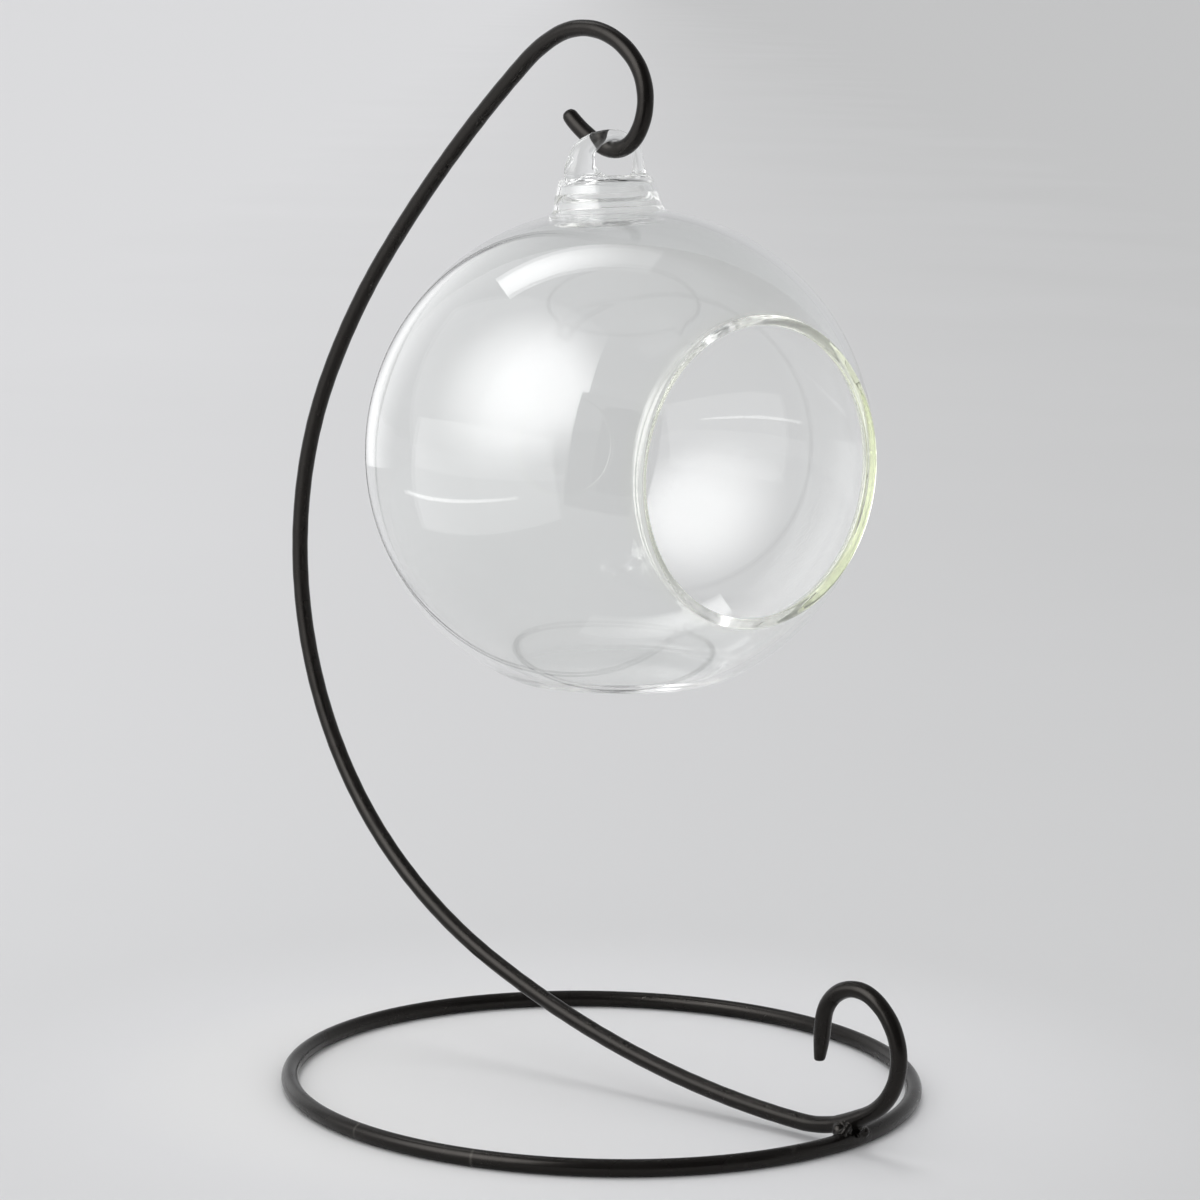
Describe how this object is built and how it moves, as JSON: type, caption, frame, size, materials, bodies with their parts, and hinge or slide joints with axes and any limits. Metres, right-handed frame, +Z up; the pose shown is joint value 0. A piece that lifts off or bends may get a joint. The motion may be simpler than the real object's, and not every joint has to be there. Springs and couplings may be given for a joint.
{
  "type": "air plant holder",
  "caption": "Air plant holder: a clear blown globe with a side mouth, hung by its glass eye from the hook of a black bent rod stand with a ring base.",
  "frame": {"origin": "centre of the base ring, on the surface it stands on", "axes": "+Z up; +X in the plane of the arm, from the ring's centre towards the weld and the small curl; +Y away from the side that the globe's mouth is turned to"},
  "size_m": [0.1947, 0.1534, 0.2532],
  "materials": {
    "black_rod": "satin black paint on steel rod",
    "black_weld": "lumpy weld under the same satin black paint",
    "clear_glass": "clear blown glass, fire-polished"
  },
  "bodies": {
    "stand": {"base_ring": "black_rod", "hanger_arm": "black_rod", "weld_bead_front": "black_weld", "weld_bead_back": "black_weld"},
    "globe": {"glass_globe": "clear_glass", "hanging_eye": "clear_glass"}
  },
  "joints": [
    {"name": "globe_swing", "type": "hinge", "parent": "stand", "child": "globe", "pos_m": [-0.00265, 0, 0.22348], "axis": [1, 0, 0], "range_deg": [-60, 60]}
  ]
}
